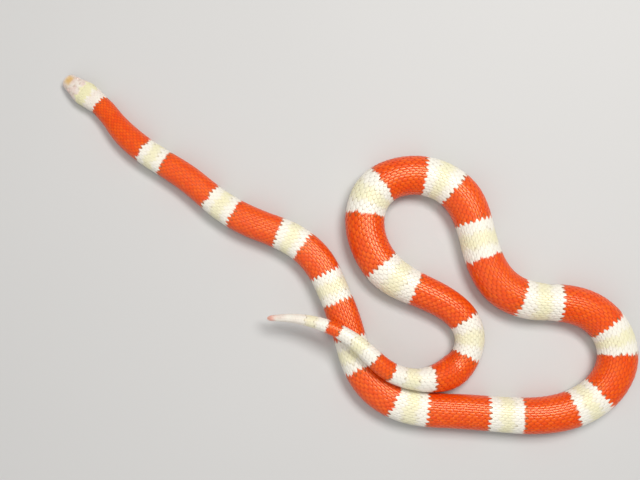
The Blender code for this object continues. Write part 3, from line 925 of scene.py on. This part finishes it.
class Tone:
    """One number of a finish while it is mixed. Plain arithmetic on it adds the nodes."""

    def __init__(self, finish, socket):
        self.finish = finish
        self.socket = socket

    def maths(self, operation, *others):
        return self.finish.node("ShaderNodeMath", {"operation": operation}, *others)

    def __add__(self, other):
        return self.maths("ADD", self, other)

    def __rsub__(self, other):
        return self.maths("SUBTRACT", other, self)

    def __mul__(self, other):
        return self.maths("MULTIPLY", self, other)

    def __gt__(self, other):
        return self.maths("GREATER_THAN", self, other)

    __radd__, __rmul__ = __add__, __mul__

    def within(self, low, high):
        """From 0 at low to 1 at high, softly."""
        settings = {"interpolation_type": "SMOOTHSTEP"}
        return self.finish.node("ShaderNodeMapRange", settings, self, low, high, 0.0, 1.0)


class Finish:
    """A material whose colour, gloss and relief come from nodes."""

    def __init__(self, name, **fixed):
        self.material = bpy.data.materials.new(name)
        self.material.use_nodes = True
        self.tree = self.material.node_tree
        self.shader = self.tree.nodes["Principled BSDF"]
        for socket, value in fixed.items():
            self.shader.inputs[socket.replace("_", " ")].default_value = value

    def plug(self, value, socket):
        if isinstance(value, Tone):
            self.tree.links.new(value.socket, socket)
        elif socket.type == "RGBA":
            socket.default_value = (*value, 1.0)
        else:
            socket.default_value = value

    def node(self, kind, settings, *values, output=0, **named):
        made = self.tree.nodes.new(kind)
        for name, value in settings.items():
            setattr(made, name, value)
        for index, value in enumerate(values):
            self.plug(value, made.inputs[index])
        for name, value in named.items():
            self.plug(value, made.inputs[name.replace("_", " ")])
        return Tone(self, made.outputs[output])

    def value(self, name):
        return self.node("ShaderNodeAttribute", {"attribute_name": name}, output=2)

    def blend(self, first, second, share):
        """A colour between two others."""
        made = self.tree.nodes.new("ShaderNodeMix")
        made.data_type = "RGBA"
        for value, index in ((share, 0), (first, 6), (second, 7)):
            self.plug(value, made.inputs[index])
        return Tone(self, made.outputs[2])

    def noise(self, scale, detail=2.0):
        places = self.node("ShaderNodeTexCoord", {}, output=3)
        return self.node("ShaderNodeTexNoise", {}, Vector=places, Scale=scale, Detail=detail)

    def end(self, colour, roughness, relief=None, distance=0.0, strength=1.0):
        self.plug(colour, self.shader.inputs["Base Color"])
        self.plug(roughness, self.shader.inputs["Roughness"])
        if relief is not None:
            bump = self.node("ShaderNodeBump", {}, Strength=strength, Distance=distance, Height=relief)
            self.plug(bump, self.shader.inputs["Normal"])
        return self.material


ORANGE_RED = (0.85, 0.052, 0.001)
# Deep red paints shade at the rims of red scales and plates, and a faint mottle.
DEEP_RED = (0.52, 0.018, 0.001)
ORANGE = (0.94, 0.120, 0.002)
MILK_WHITE = (0.92, 0.90, 0.82)
PALE_YELLOW = (0.86, 0.83, 0.54)
SNOUT_YELLOW = (0.76, 0.45, 0.13)
ROSE_WHITE = (0.79, 0.62, 0.57)
TAN = (0.52, 0.38, 0.26)
OLIVE_GREY = (0.40, 0.32, 0.19)
UMBER = (0.26, 0.10, 0.03)
SHADED_FLESH = (0.30, 0.10, 0.08)
PUPIL_RED = (0.17, 0.004, 0.004)
IRIS_DUSK = (0.74, 0.50, 0.44)
IRIS_ROSE = (0.86, 0.68, 0.61)
IRIS_WARM = (0.86, 0.54, 0.42)
IRIS_EDGE = (0.74, 0.56, 0.50)
AMBER_GLEAM = (1.0, 0.68, 0.36, 1.0)
SKIN_GLOSS = 0.40
SCALE_GLOSS = 0.31
PLATE_GLOSS = 0.26
RELIEF_DEPTH = 0.00004


def scale_finish(name, gloss):
    """Milk white, yellow and orange-red skin, in the markings that the mesh carries, with painted shade at
    the rims of scales and plates and in the mouth, nostrils and eye sockets, and a painted highlight in the
    middle of red scales.
    """
    finish = Finish(name, Specular_IOR_Level=0.8, Specular_Tint=AMBER_GLEAM, Coat_Weight=0.24,
                    Coat_Roughness=0.14)
    red, yellow, pink = finish.value("red"), finish.value("yellow"), finish.value("pink")
    rim, chance, tip, dark = (finish.value(word) for word in ("rim", "chance", "tip", "dark"))
    snout, speck = finish.value("snout"), finish.value("speck")
    broad = finish.noise(240.0, 3.0)
    fine = finish.noise(1500.0, 2.0)
    mottle = finish.noise(420.0, 3.0)
    pale = finish.blend(MILK_WHITE, PALE_YELLOW, yellow * (0.5 + 0.55 * broad))
    pale = finish.blend(pale, SNOUT_YELLOW, snout * (0.35 + 0.9 * broad))
    pale = finish.blend(pale, ROSE_WHITE, pink * (broad.within(0.25, 0.7) * 0.9 + 0.1))
    pale = finish.blend(pale, TAN, pink * mottle.within(0.55, 0.72) * 0.5)
    pale = finish.blend(pale, OLIVE_GREY, speck * 0.8 + (chance > 0.85) * tip.within(0.55, 1.0) * 0.15)
    # Painted shade: a faint rosy darkening at the rims of pale scales and plates.
    pale = finish.blend(pale, ROSE_WHITE, rim * 0.04)
    # A random tone for each red scale, lighter in its middle as a painted highlight.
    warm = finish.blend(ORANGE_RED, ORANGE, (0.25 + 0.75 * chance) * (1 - rim))
    # Painted shade at the rims of red scales and plates, with a faint mottle.
    warm = finish.blend(warm, DEEP_RED, rim * 0.6 + fine.within(0.55, 0.75) * 0.12)
    colour = finish.blend(pale, warm, red)
    # Umber on the tips of red scales along the edges of the red bands.
    band_edge_brown = finish.value("border") * (chance > 0.3) * (0.15 + tip) * red.within(0.02, 0.4)
    colour = finish.blend(colour, UMBER, band_edge_brown * 0.85)
    # Painted shade in the mouth, nostrils and eye sockets.
    colour = finish.blend(colour, SHADED_FLESH, dark)
    return finish.end(colour, gloss + fine * 0.12, fine, RELIEF_DEPTH, 0.5)


def eye_finish():
    """Wet rosy eye with a red pupil and a paler ring round it."""
    finish = Finish("eye_gloss", IOR=1.4, Coat_Weight=1.0, Coat_Roughness=0.03)
    ring = finish.value("ring")
    streaks = finish.noise(2600.0, 3.0)
    iris = finish.blend(IRIS_DUSK, IRIS_ROSE, streaks.within(0.25, 0.75))
    iris = finish.blend(IRIS_WARM, iris, ring.within(0.42, 0.56))
    iris = finish.blend(iris, IRIS_EDGE, ring.within(0.9, 1.15))
    colour = finish.blend(PUPIL_RED, iris, ring.within(0.33, 0.43))
    return finish.end(colour, 0.12)


def eye(name, side):
    """One eye with its outer side turned a little forward. Its rings are round the pupil."""
    deselect()
    bpy.ops.mesh.primitive_uv_sphere_add(segments=40, ring_count=28, radius=EYE_RADIUS * MM)
    made = bpy.context.active_object
    made.name = made.data.name = name
    add_values(made.data, ring=np.arccos(np.clip(points_of(made)[:, 2] / (EYE_RADIUS * MM), -1, 1)))
    edit(made)
    bpy.ops.mesh.select_all(action="SELECT")
    bpy.ops.transform.resize(value=EYE_FLATTENING)
    close_edit()
    origin, along, right, up = BACKBONE.frame(np.array(EYE_PLACE[0]))
    centre = (origin + right * EYE_PLACE[1] * side + up * EYE_PLACE[2]) * MM
    aim(made, centre, Vector(right * side - along * EYE_FORWARD), "Z")
    made.select_set(True)
    bpy.ops.object.transform_apply(location=True, rotation=True, scale=True)
    made.data.shade_smooth()
    return made


def own(piece, finish, slot, *nodes):
    """Gives a piece its finish and its place on the snake's one body."""
    piece.data.materials.clear()
    piece.data.materials.append(finish)
    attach(piece, "root")
    if nodes:
        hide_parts(*nodes)


BODY_NODES = ["head", "lower_jaw", "neck"] + ["trunk_%02d" % number for number in range(1, 15)]
BODY_NODES += ["tail_base", "tail_middle", "tail_tip"]

skin_gloss = scale_finish("skin_under_the_scales", SKIN_GLOSS)
scale_gloss = scale_finish("glossy_scales", SCALE_GLOSS)
own(snake_skin(), skin_gloss, "head_skin", *BODY_NODES)

one_scale = scale_pattern()
back = back_scales()
back = back[np.argsort(back[:, 0])]
for number, start in enumerate(range(0, len(back), SCALES_IN_A_MESH), 1):
    laid = back[start:start + SCALES_IN_A_MESH]
    scales = lay_scales("back_scales_%d" % number, one_scale, laid, SCALE_ROOT, DOME)
    own(scales, scale_gloss, "banded_skin")
throat = lay_scales("throat_scales", one_scale, throat_scales(), SCALE_ROOT, DOME)
own(throat, scale_gloss, "head_skin")
for number, laid in enumerate(belly_scales(), 1):
    scales = lay_scales("belly_scales_%d" % number, one_scale, laid, SCUTE_ROOT)
    own(scales, scale_gloss, "banded_skin")

own(head_plates(), scale_finish("head_plate_gloss", PLATE_GLOSS), "head_skin")

glaze = eye_finish()
own(eye("left_eye", -1), glaze, "eye", "eye_left")
own(eye("right_eye", 1), glaze, "eye", "eye_right")


# The studio

FLOOR_GREYS = (0.60, 0.60, 0.60), (0.64, 0.64, 0.64)
AIR_COLOUR = (1.0, 0.985, 0.96, 1.0)
AIR_STRENGTH = 0.25
# Each light's name, place, target, length, width, power and colour.
LIGHTS = (
    ("window", (0.30, 0.33, 0.88), (0.02, 0.0, 0.0), 0.62, 0.34, 7.2, (1.0, 0.98, 0.95)),
    ("lamp", (-0.16, 0.22, 0.98), (0.0, 0.0, 0.0), 0.3, 0.2, 1.4, (1.0, 0.96, 0.90)),
    ("fill", (-0.45, -0.60, 0.75), (0.0, 0.0, 0.0), 1.4, 1.4, 3.2, (1.0, 1.0, 1.0)),
)
CAMERA_REACH = 469.2
CAMERA_TILT = math.radians(4.0)
SENSOR_WIDTH = 36.0
LENS = 43.99


def floor():
    deselect()
    bpy.ops.mesh.primitive_plane_add(size=8.0)
    made = bpy.context.active_object
    made.name = "studio_floor"
    finish = Finish("pale_floor", Specular_IOR_Level=0.2)
    colour = finish.blend(*FLOOR_GREYS, finish.noise(3.0, 2.0))
    made.data.materials.append(finish.end(colour, 0.8))


def area_light(name, place, target, long, wide, power, colour):
    light = bpy.data.lights.new(name, "AREA")
    light.shape = "ELLIPSE"
    light.size, light.size_y = long, wide
    light.energy = power
    light.color = colour
    aim(placed(name, light), place, Vector(target) - Vector(place), "-Z")


def studio():
    bpy.context.scene.view_settings.view_transform = "Standard"
    world = bpy.data.worlds.new("studio_air")
    world.use_nodes = True
    air = world.node_tree.nodes["Background"]
    air.inputs["Color"].default_value = AIR_COLOUR
    air.inputs["Strength"].default_value = AIR_STRENGTH
    bpy.context.scene.world = world
    for light in LIGHTS:
        area_light(*light)


def camera():
    target = Vector((ORIGIN[0], ORIGIN[1], 0.0)) * MM
    back = Vector((0.0, -math.sin(CAMERA_TILT), math.cos(CAMERA_TILT)))
    lens = bpy.data.cameras.new("camera")
    lens.sensor_width = SENSOR_WIDTH
    lens.lens = LENS
    lens.clip_start = 0.01
    holder = placed("camera", lens)
    aim(holder, target + back * CAMERA_REACH * MM, -back, "-Z")
    bpy.context.scene.camera = holder


floor()
studio()
camera()
